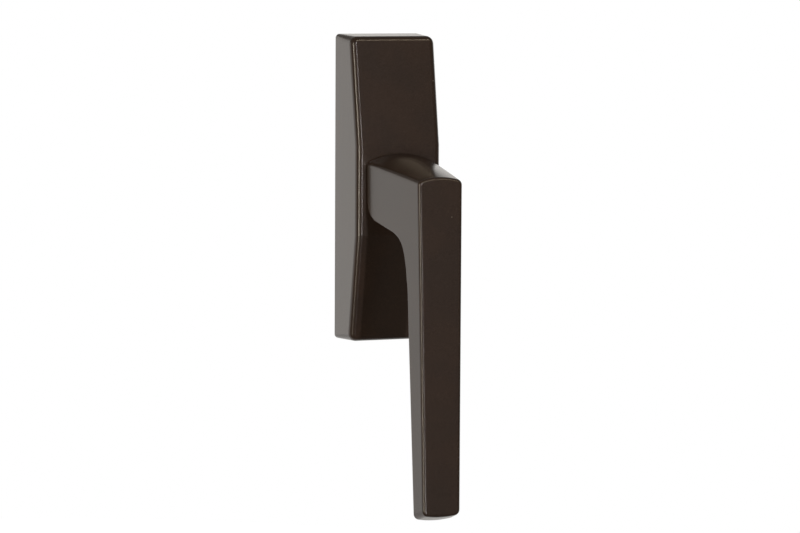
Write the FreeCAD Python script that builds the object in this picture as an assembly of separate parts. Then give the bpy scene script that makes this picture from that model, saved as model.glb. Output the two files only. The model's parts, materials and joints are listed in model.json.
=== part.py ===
import FreeCAD, Part

# Tilt turn handle, surface mounted, with a pinion and rack under a long base cover.
#
# Frame: millimetres, +X to the right, +Y into the sash, +Z up. The origin is where the
# axis of the square spindle meets the sash face. Everything in the room has y < 0.
# The lever hangs down at rest (closed), so the rack stands at the lower end of its travel.

import math
import os

# ---------------------------------------------------------------- base cover
BASE_HALF_WIDTH_BACK = 18.5
BASE_HALF_WIDTH_FRONT = 18.2
BASE_HALF_HEIGHT_BACK = 63.26
BASE_HALF_HEIGHT_FRONT = 62.6
BASE_END_DEPTH = 18.2
LAND_DEPTH = 26.15
LAND_HALF_HEIGHT = 18.35
COVER_SIDE_WALL = 2.0
COVER_FRONT_WALL = 2.2
COVER_CORNER_RADIUS_BACK = 1.8
COVER_CORNER_RADIUS_FRONT = 3.4
COVER_EDGE_RADIUS = 2.5
COVER_HOLE_RADIUS = 11.0

# ---------------------------------------------------------------- lever
NECK_ROOT_DEPTH = 26.5
NECK_ROOT_HALF_WIDTH = 14.55
NECK_TOP_AT_ROOT = 15.1
NECK_TOP_AT_FRONT = 8.2
CROWN_RADIUS = 30.0
SIDE_TAPER_PER_DEPTH = 0.1115
SIDE_TAPER_PER_HEIGHT = 0.0080
GRIP_FRONT_DEPTH_TOP = 73.2
GRIP_FRONT_DEPTH_END = 77.0
GRIP_BACK_DEPTH_END = 67.4
GRIP_END_FRONT = -126.8
GRIP_END_BACK = -130.0
GRIP_END_RADIUS = 40.0
THROAT_START_DEPTH = 47.6
THROAT_POINTS = ((56.2, -18.6), (59.7, -24.4), (61.3, -32.0))
THROAT_END_DEPTH = 63.0
THROAT_END_Z = -50.9
NECK_UNDERSIDE_AT_ROOT = -10.9
NECK_UNDERSIDE_SLOPE = 0.195
NECK_HEEL_RADIUS = 9.0
NECK_TOP_EDGE_RADIUS = 2.4
GRIP_CORNER_RADIUS = 2.4
LEVER_EDGE_RADIUS = 1.4
JOURNAL_RADIUS = 9.0
JOURNAL_END_DEPTH = 22.3
SPINDLE_SQUARE = 8.0
SPINDLE_SOCKET_DEPTH = 46.0
GRUB_DEPTH = 36.0
GRUB_RADIUS = 2.5

# ---------------------------------------------------------------- gear and rack
GEAR_MODULE = 1.25
PINION_TEETH = 16
PRESSURE_ANGLE = math.radians(20.0)
GEAR_BACKLASH = 0.16
RACK_ADDENDUM = 1.15
RACK_TEETH_EACH_WAY = 6
PITCH_RADIUS = GEAR_MODULE * PINION_TEETH / 2.0
RACK_PITCH = math.pi * GEAR_MODULE
RACK_TRAVEL = math.pi * PITCH_RADIUS
RACK_REST_Z = -RACK_TRAVEL / 2.0
RACK_HALF_LENGTH = 29.0
RACK_BACK_X = 13.65
LUG_HALF_LENGTH = 13.0
LUG_LEFT_X = -5.6
HUB_RADIUS = 8.0
RUNNING_GAP = 0.05

# ---------------------------------------------------------------- depths inside the base
GASKET_DEPTH = 0.8
PLATE_DEPTH = 2.8
SLIDE_BACK_DEPTH = 2.9
LUG_FRONT_DEPTH = 5.9
PINION_BACK_DEPTH = 6.4
PINION_FRONT_DEPTH = 12.8
RACK_FRONT_DEPTH = 12.9
CHANNEL_FRONT_DEPTH = 13.0
CASE_FRONT_DEPTH = 15.6
BOSS_FRONT_DEPTH = 17.0
BEARING_FLANGE_DEPTH = 17.6
THRUST_WASHER_DEPTHS = (17.65, 18.15)
DETENT_DEPTHS = (18.2, 20.0)
WAVE_WASHER_DEPTHS = (20.0, 20.8)
RING_DEPTHS = (20.85, 21.75)
HUB_END_DEPTH = 22.15

# ---------------------------------------------------------------- case and fasteners
CASE_HALF_WIDTH = 16.1
CASE_HALF_HEIGHT = 58.0
CHANNEL_HALF_HEIGHT = 45.2
CHANNEL_LEFT_X = 8.0
CHANNEL_RIGHT_X = 14.6
BEARING_OUTER_RADIUS = 9.4
FIXING_SCREW_Z = 50.0
FIXING_SCREW_RADIUS = 2.5
FIXING_SHANK_RADIUS = 2.3
FIXING_HEAD_RADIUS = 4.5
FIXING_WELL_RADIUS = 5.4
FIXING_HOLE_RADIUS = 2.8
FIXING_SCREW_REACH = 12.0
FIXING_SEAT_DEPTH = 7.4
FIXING_WASHER_THICKNESS = 0.8
PLATE_SCREW_X = 11.5
PLATE_SCREW_Z = 53.5
PLATE_SCREW_RADIUS = 1.5
PLATE_SCREW_HEAD_RADIUS = 2.9
PLATE_SCREW_HEAD_HEIGHT = 1.4
TIP_CHAMFER = 0.6
BOSS_RADIUS = 13.5
CASE_CORNER_RADIUS = 2.0
GASKET_HALF_HEIGHT = 60.5
DRIVE_PIN_RADIUS = 3.0
DRIVE_PIN_COLLAR_RADIUS = 3.3
DRIVE_PIN_SHANK_RADIUS = 2.5
DRIVE_PIN_OFFSET = 8.0
DRIVE_PIN_REACH = 11.0
FREE_END_START = 0.3
CLIP_Z = 51.0
CLIP_RIDGE_RADIUS = 0.9
CLIP_RIDGE_DEPTH = 6.5
DETENT_RADIUS = 12.0
DETENT_NOTCH_DEPTH = 0.9
DETENT_NOTCH_RADIUS = 4.2

AXIS_X = FreeCAD.Vector(1, 0, 0)
AXIS_Y = FreeCAD.Vector(0, 1, 0)
AXIS_Z = FreeCAD.Vector(0, 0, 1)


# ---------------------------------------------------------------- helpers
def at(x, depth, z):
    """Point in the row frame, with depth counted out of the sash into the room."""
    return FreeCAD.Vector(x, -depth, z)


def block(x_range, depth_range, z_range):
    """Axis-aligned box between the given limits."""
    width = x_range[1] - x_range[0]
    thick = depth_range[1] - depth_range[0]
    height = z_range[1] - z_range[0]
    return Part.makeBox(width, thick, height, at(x_range[0], depth_range[1], z_range[0]))


def disc(radius, depth_range, x=0.0, z=0.0):
    """Cylinder along Y between two depths."""
    length = depth_range[1] - depth_range[0]
    return Part.makeCylinder(radius, length, at(x, depth_range[1], z), AXIS_Y)


def ring(outer, inner, depth_range, x=0.0, z=0.0):
    """Hollow cylinder along Y between two depths."""
    margin = 1.0
    hole = disc(inner, (depth_range[0] - margin, depth_range[1] + margin), x, z)
    return disc(outer, depth_range, x, z).cut(hole)


def cone(back_radius, front_radius, depth_range, x=0.0, z=0.0):
    """Cone along Y between two depths."""
    length = depth_range[1] - depth_range[0]
    return Part.makeCone(front_radius, back_radius, length, at(x, depth_range[1], z), AXIS_Y)


def square_bar(side, depth_range):
    """Square bar on the spindle axis."""
    half = side / 2.0
    return block((-half, half), depth_range, (-half, half))


def hex_socket(across_flats, depth_range, x=0.0, z=0.0):
    """Hexagonal prism along Y, used as the drive recess of a screw."""
    radius = across_flats / math.sqrt(3.0)
    corners = []
    for step in range(7):
        angle = math.radians(60.0 * step)
        corners.append(at(x + radius * math.cos(angle), depth_range[1], z + radius * math.sin(angle)))
    face = Part.Face(Part.makePolygon(corners))
    return face.extrude(FreeCAD.Vector(0, depth_range[1] - depth_range[0], 0))


def line(start, end):
    """Straight edge."""
    return Part.LineSegment(start, end).toShape()


def arc(start, middle, end):
    """Arc edge through three points."""
    return Part.Arc(start, middle, end).toShape()


def side_prism(corners, half_width):
    """Solid between x = -half_width and +half_width from (depth, z) corners."""
    points = [at(-half_width, depth, z) for depth, z in corners]
    points.append(points[0])
    return Part.Face(Part.makePolygon(points)).extrude(AXIS_X * (2 * half_width))


def plan_prism(corners, half_height):
    """Solid between z = -half_height and +half_height from (x, depth) corners."""
    points = [at(x, depth, -half_height) for x, depth in corners]
    points.append(points[0])
    return Part.Face(Part.makePolygon(points)).extrude(AXIS_Z * (2 * half_height))


def mirrored(shape, normal):
    """Copy mirrored in a plane through the origin."""
    return shape.mirror(FreeCAD.Vector(0, 0, 0), normal)


def edges_where(shape, wanted):
    """Edges whose two end points and centre all satisfy the test."""
    found = []
    for edge in shape.Edges:
        points = [vertex.Point for vertex in edge.Vertexes]
        points.append(edge.CenterOfMass)
        if all(wanted(point) for point in points):
            found.append(edge)
    return found


# ---------------------------------------------------------------- base cover
def base_form(inset_side, inset_front, inset_end):
    """The outer form of the base, or the same form made smaller by the insets."""
    half_back = BASE_HALF_WIDTH_BACK - inset_side
    half_front = BASE_HALF_WIDTH_FRONT - inset_side
    side = side_prism(
        [
            (0.0, BASE_HALF_HEIGHT_BACK - inset_end),
            (BASE_END_DEPTH - inset_front, BASE_HALF_HEIGHT_FRONT - inset_end),
            (LAND_DEPTH - inset_front, LAND_HALF_HEIGHT),
            (LAND_DEPTH - inset_front, -LAND_HALF_HEIGHT),
            (BASE_END_DEPTH - inset_front, -BASE_HALF_HEIGHT_FRONT + inset_end),
            (0.0, -BASE_HALF_HEIGHT_BACK + inset_end),
        ],
        half_back,
    )
    plan = plan_prism(
        [(-half_back, 0.0), (-half_front, LAND_DEPTH), (half_front, LAND_DEPTH), (half_back, 0.0)],
        BASE_HALF_HEIGHT_BACK,
    )
    return side.common(plan)


def soften_upright(shell, edge):
    """Round one corner edge of the cover, more at the front than at the back."""
    start = edge.valueAt(edge.FirstParameter)
    finish = edge.valueAt(edge.LastParameter)
    if start.y > finish.y:
        return shell.makeFillet(COVER_CORNER_RADIUS_BACK, COVER_CORNER_RADIUS_FRONT, [edge])
    return shell.makeFillet(COVER_CORNER_RADIUS_FRONT, COVER_CORNER_RADIUS_BACK, [edge])


def cover():
    """Hollow base cover, open at the back, with the round hole for the lever journal."""
    shell = base_form(0.0, 0.0, 0.0)
    corner_x = BASE_HALF_WIDTH_FRONT - 0.1
    corner_z = BASE_HALF_HEIGHT_FRONT - 0.1
    corners = edges_where(shell, lambda p: abs(p.x) > corner_x and abs(p.z) > corner_z)
    upright = [edge for edge in corners if abs(edge.Vertexes[0].Y - edge.Vertexes[1].Y) > 5.0]
    for index in range(len(upright)):
        shell = soften_upright(shell, upright[index])
    front_depth = BASE_END_DEPTH - 0.5

    def on_rim(point):
        outside = abs(point.x) > BASE_HALF_WIDTH_FRONT - 2.2 or abs(point.z) > BASE_HALF_HEIGHT_FRONT - 2.2
        return -point.y > front_depth and outside

    shell = shell.makeFillet(COVER_EDGE_RADIUS, edges_where(shell, on_rim))
    hollow = base_form(COVER_SIDE_WALL, COVER_FRONT_WALL, COVER_SIDE_WALL)
    shell = shell.cut(hollow)
    shell = shell.cut(disc(COVER_HOLE_RADIUS, (LAND_DEPTH - 5.0, LAND_DEPTH + 1.0)))
    groove_radius = CLIP_RIDGE_RADIUS + 0.15
    for side in (-1, 1):
        for end in (-1, 1):
            start = at(side * (CASE_HALF_WIDTH - 0.3), CLIP_RIDGE_DEPTH, end * CLIP_Z - 4.0)
            shell = shell.cut(Part.makeCylinder(groove_radius, 8.0, start, AXIS_Z))
    return shell


# ---------------------------------------------------------------- lever
def lever_side_profile():
    """Wire of the lever seen from the side, in the plane x = 0."""
    under_z = NECK_UNDERSIDE_AT_ROOT - NECK_UNDERSIDE_SLOPE * (THROAT_START_DEPTH - NECK_ROOT_DEPTH)
    back_lean = (GRIP_BACK_DEPTH_END - THROAT_END_DEPTH) / (THROAT_END_Z - GRIP_END_BACK)
    high = 20.0
    front_slope = (GRIP_FRONT_DEPTH_END - GRIP_FRONT_DEPTH_TOP) / (NECK_TOP_AT_FRONT - GRIP_END_FRONT)
    front_high = GRIP_FRONT_DEPTH_TOP - front_slope * (high - NECK_TOP_AT_FRONT)
    corners = {
        "root_high": at(0, NECK_ROOT_DEPTH, high),
        "root_low": at(0, NECK_ROOT_DEPTH, NECK_UNDERSIDE_AT_ROOT),
        "under": at(0, THROAT_START_DEPTH, under_z),
        "back": at(0, THROAT_END_DEPTH, THROAT_END_Z),
        "end_back": at(0, GRIP_BACK_DEPTH_END, GRIP_END_BACK),
        "end_front": at(0, GRIP_FRONT_DEPTH_END, GRIP_END_FRONT),
        "front_high": at(0, front_high, high),
    }
    throat = Part.BSplineCurve()
    bend = [at(0, depth, z) for depth, z in THROAT_POINTS]
    throat.interpolate(
        Points=[corners["under"]] + bend + [corners["back"]],
        InitialTangent=FreeCAD.Vector(0, -1, -NECK_UNDERSIDE_SLOPE) * 9.0,
        FinalTangent=FreeCAD.Vector(0, -back_lean, -1) * 16.0,
    )
    return Part.Wire(
        [
            line(corners["root_high"], corners["root_low"]),
            line(corners["root_low"], corners["under"]),
            throat.toShape(),
            line(corners["back"], corners["end_back"]),
            line(corners["end_back"], corners["end_front"]),
            line(corners["end_front"], corners["front_high"]),
            line(corners["front_high"], corners["root_high"]),
        ]
    )


def lever_side_plane(side):
    """Large block that trims one tapered side of the lever."""
    reach = 200.0
    normal = FreeCAD.Vector(side, -SIDE_TAPER_PER_DEPTH, -SIDE_TAPER_PER_HEIGHT)
    normal.normalize()
    trim = Part.makeBox(2 * reach, 2 * reach, reach, FreeCAD.Vector(-reach, -reach, 0))
    turn = FreeCAD.Rotation(AXIS_Z, normal)
    corner = at(side * NECK_ROOT_HALF_WIDTH, NECK_ROOT_DEPTH, NECK_TOP_AT_FRONT)
    trim.Placement = FreeCAD.Placement(corner, turn)
    return trim


def grip_end_trim(half_span):
    """Material to take off so that the sloping lower end of the grip is rounded."""
    near = 55.0
    far = 95.0
    slope = (GRIP_END_FRONT - GRIP_END_BACK) / (GRIP_FRONT_DEPTH_END - GRIP_BACK_DEPTH_END)
    lift = GRIP_END_RADIUS * math.hypot(1.0, slope) + 0.1

    def on_end(depth, rise):
        return GRIP_END_FRONT + slope * (depth - GRIP_FRONT_DEPTH_END) + rise

    corners = [(near, on_end(near, -2.0)), (far, on_end(far, -2.0))]
    corners += [(far, on_end(far, lift)), (near, on_end(near, lift))]
    below = side_prism(corners, half_span)
    start = at(0, near - 10.0, on_end(near - 10.0, lift))
    finish = at(0, far + 10.0, on_end(far + 10.0, lift))
    rounded = Part.makeCylinder(GRIP_END_RADIUS, (finish - start).Length, start, finish - start)
    rounded.rotate(start, finish - start, 180.0)
    return below.cut(rounded)


def lever():
    """One-piece lever: crowned neck, hanging grip and the round journal at its root."""
    half_span = 25.0
    body = Part.Face(lever_side_profile())
    body.translate(AXIS_X * -half_span)
    body = body.extrude(AXIS_X * (2 * half_span))
    heel = edges_where(
        body,
        lambda p: abs(-p.y - NECK_ROOT_DEPTH) < 0.01 and abs(p.z - NECK_UNDERSIDE_AT_ROOT) < 0.01,
    )
    body = body.makeFillet(NECK_HEEL_RADIUS, heel)
    for side in (-1, 1):
        body = body.cut(lever_side_plane(side))

    # Crown: a cylinder along the neck, tilted with the slope of the neck's top.
    crown_start = at(0, 0.0, NECK_TOP_AT_ROOT - CROWN_RADIUS)
    fall = (NECK_TOP_AT_ROOT - NECK_TOP_AT_FRONT) / (GRIP_FRONT_DEPTH_TOP - NECK_ROOT_DEPTH)
    crown_axis = FreeCAD.Vector(0, -1, -fall)
    crown_start.z += fall * NECK_ROOT_DEPTH
    crown = Part.makeCylinder(CROWN_RADIUS, 120.0, crown_start, crown_axis)
    above = block((-half_span, half_span), (20.0, 90.0), (0.0, 30.0))
    body = body.cut(above.cut(crown))

    body = body.cut(grip_end_trim(half_span))

    top_edges = edges_where(body, lambda p: p.z > 0.0 and -p.y > NECK_ROOT_DEPTH - 0.01)
    long_top = [edge for edge in top_edges if abs(edge.Vertexes[0].Y - edge.Vertexes[1].Y) > 30.0]
    body = body.makeFillet(NECK_TOP_EDGE_RADIUS, long_top)
    low_corners = edges_where(body, lambda p: p.z < GRIP_END_BACK + 8.0 and abs(p.x) > 4.0)
    body = body.makeFillet(GRIP_CORNER_RADIUS, low_corners)
    sharp = []
    for edge in body.Edges:
        on_root = all(abs(-v.Y - NECK_ROOT_DEPTH) < 0.01 for v in edge.Vertexes)
        if not on_root and not is_smooth(body, edge):
            sharp.append(edge)
    body = body.makeFillet(LEVER_EDGE_RADIUS, sharp)

    journal = disc(JOURNAL_RADIUS, (JOURNAL_END_DEPTH, NECK_ROOT_DEPTH + 2.0))
    body = body.fuse(journal)
    body = body.cut(square_bar(SPINDLE_SQUARE, (JOURNAL_END_DEPTH - 1.0, SPINDLE_SOCKET_DEPTH)))
    grub_hole = Part.makeCylinder(GRUB_RADIUS, 20.0, at(0, GRUB_DEPTH, -23.9), AXIS_Z)
    body = body.cut(grub_hole)
    return body


def is_smooth(shape, edge):
    """True when the two faces beside an edge meet with no corner."""
    faces = [face for face in shape.Faces if any(other.isSame(edge) for other in face.Edges)]
    if len(faces) != 2:
        return True
    middle = edge.valueAt((edge.FirstParameter + edge.LastParameter) / 2.0)
    normals = []
    for face in faces:
        u, v = face.Surface.parameter(middle)
        normals.append(face.normalAt(u, v))
    return normals[0].getAngle(normals[1]) < math.radians(4.0)


def spindle():
    """Square spindle from the lever's socket to the back of the pinion."""
    bar = square_bar(SPINDLE_SQUARE, (PINION_BACK_DEPTH + 0.4, SPINDLE_SOCKET_DEPTH - 0.5))
    long_edges = edges_where(bar, lambda p: abs(p.x) > 3.9 and abs(p.z) > 3.9)
    return bar.makeChamfer(0.5, long_edges)


def grub_screw():
    """Set screw under the neck that presses on the spindle."""
    top_z = -SPINDLE_SQUARE / 2.0
    length = 7.0
    body = Part.makeCylinder(GRUB_RADIUS, length, at(0, GRUB_DEPTH, top_z - length), AXIS_Z)
    socket = Part.makeCylinder(1.25, 3.0, at(0, GRUB_DEPTH, top_z - length - 0.5), AXIS_Z)
    return body.cut(socket)


# ---------------------------------------------------------------- gear train
def involute(angle):
    """Involute function."""
    return math.tan(angle) - angle


def pinion_outline():
    """Closed wire of the spur pinion in the plane of the sash, one tooth towards +X."""
    base_radius = PITCH_RADIUS * math.cos(PRESSURE_ANGLE)
    tip_radius = PITCH_RADIUS + GEAR_MODULE
    root_radius = PITCH_RADIUS - 1.25 * GEAR_MODULE
    half_at_pitch = math.pi / (2 * PINION_TEETH) - GEAR_BACKLASH / (2 * PITCH_RADIUS)
    flank_points = 5

    def half_angle(radius):
        pressure = math.acos(min(1.0, base_radius / radius))
        return half_at_pitch + involute(PRESSURE_ANGLE) - involute(pressure)

    def polar(radius, angle):
        return FreeCAD.Vector(radius * math.cos(angle), 0, radius * math.sin(angle))

    radii = []
    for step in range(flank_points):
        radii.append(base_radius + (tip_radius - base_radius) * step / (flank_points - 1))
    edges = []
    for tooth in range(PINION_TEETH):
        middle = 2 * math.pi * tooth / PINION_TEETH
        half_root = half_angle(base_radius)
        rising = Part.BSplineCurve()
        rising.interpolate([polar(r, middle - half_angle(r)) for r in radii])
        falling = Part.BSplineCurve()
        falling.interpolate([polar(r, middle + half_angle(r)) for r in reversed(radii)])
        tip_half = half_angle(tip_radius)
        next_start = middle + 2 * math.pi / PINION_TEETH - half_root
        valley = middle + math.pi / PINION_TEETH
        edges.append(line(polar(root_radius, middle - half_root), polar(base_radius, middle - half_root)))
        edges.append(rising.toShape())
        tip_start = polar(tip_radius, middle - tip_half)
        tip_end = polar(tip_radius, middle + tip_half)
        edges.append(arc(tip_start, polar(tip_radius, middle), tip_end))
        edges.append(falling.toShape())
        edges.append(line(polar(base_radius, middle + half_root), polar(root_radius, middle + half_root)))
        root_start = polar(root_radius, middle + half_root)
        edges.append(arc(root_start, polar(root_radius, valley), polar(root_radius, next_start)))
    return Part.Wire(edges)


def pinion():
    """Pinion with a long hub, a square hole and the groove for the retaining ring."""
    face = Part.Face(pinion_outline())
    face.translate(AXIS_Y * -PINION_FRONT_DEPTH)
    gear = face.extrude(AXIS_Y * (PINION_FRONT_DEPTH - PINION_BACK_DEPTH))
    gear = gear.fuse(disc(HUB_RADIUS, (PINION_FRONT_DEPTH - 1.0, HUB_END_DEPTH)))
    gear = gear.cut(ring(HUB_RADIUS + 1.0, HUB_RADIUS - 0.8, RING_DEPTHS))
    return gear.cut(square_bar(SPINDLE_SQUARE, (PINION_BACK_DEPTH - 1.0, HUB_END_DEPTH + 1.0)))


def rack_slide():
    """Toothed bar with a flat lug behind the pinion that carries the drive pins."""
    tip_x = PITCH_RADIUS - RACK_ADDENDUM
    root_x = PITCH_RADIUS + 1.25 * GEAR_MODULE
    lean = math.tan(PRESSURE_ANGLE)
    half_tip = RACK_PITCH / 4.0 - RACK_ADDENDUM * lean
    half_root = RACK_PITCH / 4.0 + (root_x - PITCH_RADIUS) * lean
    outline = [(RACK_BACK_X, -RACK_HALF_LENGTH), (root_x, -RACK_HALF_LENGTH)]
    for index in range(-RACK_TEETH_EACH_WAY, RACK_TEETH_EACH_WAY):
        centre = (index + 0.5) * RACK_PITCH
        outline.append((root_x, centre - half_root))
        outline.append((tip_x, centre - half_tip))
        outline.append((tip_x, centre + half_tip))
        outline.append((root_x, centre + half_root))
    outline.append((root_x, RACK_HALF_LENGTH))
    outline.append((RACK_BACK_X, RACK_HALF_LENGTH))
    points = [at(x, RACK_FRONT_DEPTH, z + RACK_REST_Z) for x, z in outline]
    points.append(points[0])
    bar = Part.Face(Part.makePolygon(points)).extrude(AXIS_Y * (RACK_FRONT_DEPTH - SLIDE_BACK_DEPTH))
    lug_z = (RACK_REST_Z - LUG_HALF_LENGTH, RACK_REST_Z + LUG_HALF_LENGTH)
    lug = block((LUG_LEFT_X, root_x + 0.5), (SLIDE_BACK_DEPTH, LUG_FRONT_DEPTH), lug_z)
    slide = bar.fuse(lug).removeSplitter()
    for offset in (-DRIVE_PIN_OFFSET, DRIVE_PIN_OFFSET):
        slide = slide.cut(disc(DRIVE_PIN_SHANK_RADIUS, (0.0, 8.0), 0.0, RACK_REST_Z + offset))
    return slide


def drive_pins():
    """Two stepped pins that reach through the back plate and push the locking rod."""
    pins = []
    for offset in (-DRIVE_PIN_OFFSET, DRIVE_PIN_OFFSET):
        z = RACK_REST_Z + offset
        free_end = disc(DRIVE_PIN_RADIUS, (-DRIVE_PIN_REACH, -FREE_END_START), 0.0, z)
        tip = edges_where(free_end, lambda p: p.y > DRIVE_PIN_REACH - 0.01)
        collar = disc(DRIVE_PIN_COLLAR_RADIUS, (-FREE_END_START, SLIDE_BACK_DEPTH), 0.0, z)
        shank = disc(DRIVE_PIN_SHANK_RADIUS, (SLIDE_BACK_DEPTH, LUG_FRONT_DEPTH), 0.0, z)
        pins.append(free_end.makeChamfer(TIP_CHAMFER, tip).fuse(collar).fuse(shank))
    return Part.makeCompound(pins)


def glide_shoe():
    """Plastic shoe along the free edge of the slide's lug."""
    shoe_left = LUG_LEFT_X - 1.4
    half = LUG_HALF_LENGTH - 0.5
    z_range = (RACK_REST_Z - half, RACK_REST_Z + half)
    return block((shoe_left, LUG_LEFT_X), (SLIDE_BACK_DEPTH, LUG_FRONT_DEPTH), z_range)


def detent_ring():
    """Ring with a notch at each quarter turn, keyed on the hub."""
    body = ring(DETENT_RADIUS, HUB_RADIUS, DETENT_DEPTHS)
    reach = DETENT_RADIUS - DETENT_NOTCH_DEPTH + DETENT_NOTCH_RADIUS
    for quarter in range(4):
        angle = math.radians(90.0 * quarter)
        x = reach * math.cos(angle)
        z = reach * math.sin(angle)
        body = body.cut(disc(DETENT_NOTCH_RADIUS, (DETENT_DEPTHS[0] - 1, DETENT_DEPTHS[1] + 1), x, z))
    return body


def detent_springs():
    """Two leaf springs, each with a bump that rests in a notch of the ring."""
    half_length = 16.5
    outer_x = -12.95
    inner_x = -12.55
    bump_half = 2.6
    bump_tip = -11.2
    strip = 0.4
    depth = DETENT_DEPTHS[1] - 0.1
    edges = [
        line(at(outer_x, depth, -half_length), at(outer_x, depth, -bump_half - 0.2)),
        arc(
            at(outer_x, depth, -bump_half - 0.2),
            at(bump_tip - strip, depth, 0),
            at(outer_x, depth, bump_half + 0.2),
        ),
        line(at(outer_x, depth, bump_half + 0.2), at(outer_x, depth, half_length)),
        line(at(outer_x, depth, half_length), at(inner_x, depth, half_length)),
        line(at(inner_x, depth, half_length), at(inner_x, depth, bump_half)),
        arc(at(inner_x, depth, bump_half), at(bump_tip, depth, 0), at(inner_x, depth, -bump_half)),
        line(at(inner_x, depth, -bump_half), at(inner_x, depth, -half_length)),
        line(at(inner_x, depth, -half_length), at(outer_x, depth, -half_length)),
    ]
    left = Part.Face(Part.Wire(edges)).extrude(AXIS_Y * 1.6)
    return Part.makeCompound([left, mirrored(left, AXIS_X)])


def thrust_washer():
    """Thin washer between the bearing flange and the detent ring."""
    return ring(11.0, HUB_RADIUS, THRUST_WASHER_DEPTHS)


def wave_washer():
    """Springy washer that takes up the end play, with three waves."""
    near, far = WAVE_WASHER_DEPTHS
    thick = 0.35
    outer = 10.4
    waves = 3
    sectors = 2 * waves
    flat = ring(outer, HUB_RADIUS, (near, near + thick))
    raised = ring(outer, HUB_RADIUS, (far - thick, far))
    ramp = ring(outer, HUB_RADIUS, (near, far))
    pieces = []
    for sector in range(sectors):
        middle = 360.0 * sector / sectors
        source = flat if sector % 2 == 0 else raised
        pieces.append(source.common(sector_block(middle, 48.0)))
        pieces.append(ramp.common(sector_block(middle + 180.0 / sectors, 13.0)))
    return pieces[0].multiFuse(pieces[1:]).removeSplitter()


def sector_block(middle_degrees, span_degrees):
    """Wedge from the spindle axis outwards, centred on one direction."""
    reach = 40.0
    low = math.radians(middle_degrees - span_degrees / 2.0)
    high = math.radians(middle_degrees + span_degrees / 2.0)
    corners = [
        at(0, 30.0, 0),
        at(reach * math.cos(low), 30.0, reach * math.sin(low)),
        at(reach * math.cos(high), 30.0, reach * math.sin(high)),
        at(0, 30.0, 0),
    ]
    return Part.Face(Part.makePolygon(corners)).extrude(AXIS_Y * 20.0)


def retaining_ring():
    """Open ring in the groove of the hub."""
    body = ring(9.8, HUB_RADIUS - 0.8, RING_DEPTHS)
    return body.cut(block((-1.6, 1.6), (RING_DEPTHS[0] - 1, RING_DEPTHS[1] + 1), (0.0, 12.0)))


# ---------------------------------------------------------------- case and its parts
def rounded_slab(depths):
    """Slab of the case's outline with rounded corners."""
    slab = block((-CASE_HALF_WIDTH, CASE_HALF_WIDTH), depths, (-CASE_HALF_HEIGHT, CASE_HALF_HEIGHT))
    wide = CASE_HALF_WIDTH - 0.1
    high = CASE_HALF_HEIGHT - 0.1
    uprights = edges_where(slab, lambda p: abs(p.x) > wide and abs(p.z) > high)
    return slab.makeFillet(CASE_CORNER_RADIUS, uprights)


def gear_case():
    """Die-cast case: rack channel, pinion chamber, bearing boss and screw wells."""
    body = rounded_slab((PLATE_DEPTH, CASE_FRONT_DEPTH))
    body = body.fuse(disc(BOSS_RADIUS, (CASE_FRONT_DEPTH - 1.0, BOSS_FRONT_DEPTH)))
    for side in (-1, 1):
        for end in (-1, 1):
            body = body.fuse(spring_post(side, end))
    open_back = PLATE_DEPTH - 1.0
    channel_x = (CHANNEL_LEFT_X, CHANNEL_RIGHT_X)
    channel = block(channel_x, (open_back, CHANNEL_FRONT_DEPTH), (-CHANNEL_HALF_HEIGHT, CHANNEL_HALF_HEIGHT))
    lug_reach = RACK_TRAVEL / 2.0 + LUG_HALF_LENGTH + 0.6
    lug_left = LUG_LEFT_X - 1.4 - RUNNING_GAP
    lug_x = (lug_left, CHANNEL_LEFT_X + 1.0)
    lug_room = block(lug_x, (open_back, LUG_FRONT_DEPTH + 0.3), (-lug_reach, lug_reach))
    chamber = disc(PITCH_RADIUS + GEAR_MODULE + 0.4, (open_back, CHANNEL_FRONT_DEPTH))
    bearing_bore = disc(BEARING_OUTER_RADIUS, (CHANNEL_FRONT_DEPTH - 1.0, BOSS_FRONT_DEPTH + 1.0))
    for room in (channel, lug_room, chamber, bearing_bore):
        body = body.cut(room)
    for end in (-1, 1):
        well_z = end * FIXING_SCREW_Z
        body = body.cut(disc(FIXING_WELL_RADIUS, (FIXING_SEAT_DEPTH, CASE_FRONT_DEPTH + 1.0), 0.0, well_z))
        body = body.cut(disc(FIXING_HOLE_RADIUS, (open_back, FIXING_SEAT_DEPTH + 1.0), 0.0, well_z))
        low_z = min(end * 20.0, end * 42.0)
        body = body.cut(block((-14.0, -9.0), (open_back, CASE_FRONT_DEPTH - 2.0), (low_z, low_z + 22.0)))
        for side in (-1, 1):
            screw_x = side * PLATE_SCREW_X
            screw_z = end * PLATE_SCREW_Z
            body = body.cut(disc(PLATE_SCREW_RADIUS, (open_back, 10.0), screw_x, screw_z))
            pocket_x = sorted((side * (CASE_HALF_WIDTH - 1.0), side * (CASE_HALF_WIDTH + 1.0)))
            pocket_z = (end * CLIP_Z - 3.4, end * CLIP_Z + 3.4)
            body = body.cut(block(pocket_x, (CLIP_RIDGE_DEPTH - 3.0, CLIP_RIDGE_DEPTH + 3.0), pocket_z))
    return body


def spring_post(side, end):
    """Slotted post that holds one end of a detent spring."""
    x_range = sorted((side * 11.5, side * 14.5))
    z_range = sorted((end * 15.0, end * 18.0))
    post = block(x_range, (CASE_FRONT_DEPTH - 0.5, DETENT_DEPTHS[1] + 0.2), z_range)
    slot_x = sorted((side * 12.5, side * 13.0))
    slot_z = sorted((end * 14.0, end * 16.6))
    return post.cut(block(slot_x, (DETENT_DEPTHS[0], DETENT_DEPTHS[1] + 1.0), slot_z))


def pin_slot(half_width, depth_range):
    """Long slot that the drive pins travel in."""
    reach = RACK_TRAVEL / 2.0 + DRIVE_PIN_OFFSET
    slot = block((-half_width, half_width), depth_range, (-reach, reach))
    slot = slot.fuse(disc(half_width, depth_range, 0.0, reach))
    return slot.fuse(disc(half_width, depth_range, 0.0, -reach))


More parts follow.
